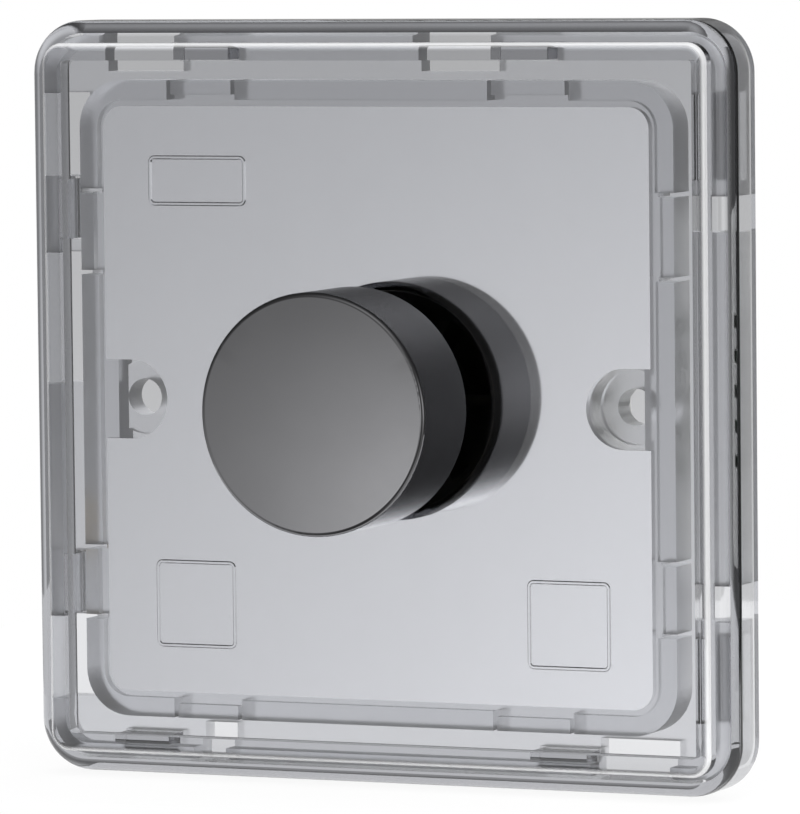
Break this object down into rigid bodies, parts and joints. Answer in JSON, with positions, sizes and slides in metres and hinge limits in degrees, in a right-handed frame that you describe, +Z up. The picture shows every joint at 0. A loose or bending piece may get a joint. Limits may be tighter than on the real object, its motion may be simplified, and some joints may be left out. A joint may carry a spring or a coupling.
{
  "type": "dimmer switch",
  "caption": "Rotary dimmer switch: a clear square screwless wall plate over a polished panel, a black-chrome knob that turns to dim and pushes to switch, and a rear module with terminals.",
  "frame": {"origin": "middle of the plate's back on the wall plane, where the knob's axis meets it", "axes": "+Z up the plate, -Y out of the wall towards the user, +X to the user's right"},
  "size_m": [0.086, 0.0448, 0.086],
  "materials": {
    "clear_plastic": "clear, polished",
    "polished_metal": "polished",
    "black_chrome": "black chrome",
    "black_plastic": "moulded",
    "case_plastic": "moulded",
    "block_plastic": "moulded",
    "control_plastic": "moulded",
    "brass": "machined",
    "zinc_steel": "zinc plated",
    "steel": "bright",
    "tinned_pins": "tinned",
    "aluminium": "mill finish",
    "board": "glass-fibre laminate",
    "ferrite": "sintered",
    "copper": "enamelled wire",
    "capacitor_case": "moulded",
    "fuse_case": "moulded"
  },
  "bodies": {
    "plate": {"cover_plate": "clear_plastic", "base_frame": "clear_plastic", "backing_plate": "polished_metal", "module_case": "case_plastic", "module_lid": "case_plastic", "lid_screws": "zinc_steel", "bush": "brass", "bush_nut": "brass", "lock_washer": "zinc_steel", "control_housing": "control_plastic", "track_wafer": "board", "push_spring": "steel", "control_pins": "tinned_pins", "circuit_board": "board", "heat_sink": "aluminium", "triac": "black_plastic", "triac_screw": "zinc_steel", "choke_core": "ferrite", "choke_winding": "copper", "capacitor": "capacitor_case", "fuse": "fuse_case", "terminal_block": "block_plastic", "terminal_clamps": "brass", "terminal_screws": "zinc_steel", "earth_terminal": "brass", "earth_screw": "zinc_steel"},
    "push_carriage": {"push_slider": "black_plastic"},
    "knob": {"spindle": "steel", "spindle_clip": "steel", "knob_shell": "black_chrome", "knob_insert": "black_plastic", "knob_clip": "steel"},
    "wiper": {"wiper_rotor": "control_plastic"}
  },
  "joints": [
    {"name": "push", "type": "slide", "parent": "plate", "child": "push_carriage", "axis": [0, 1, 0], "range_m": [0, 0.0014], "stiffness_N_per_m": 2000, "springref_m": -0.002, "deforming": ["push_spring"]},
    {"name": "turn", "type": "hinge", "parent": "push_carriage", "child": "knob", "pos_m": [0, 0, 0], "axis": [0, 1, 0], "range_deg": [-135, 135]},
    {"name": "wiper_turn", "type": "hinge", "parent": "plate", "child": "wiper", "pos_m": [0, 0, 0], "axis": [0, 1, 0], "range_deg": [-135, 135]}
  ],
  "couplings": [
    {"joint": "wiper_turn", "follows": "turn", "ratio": 1}
  ]
}
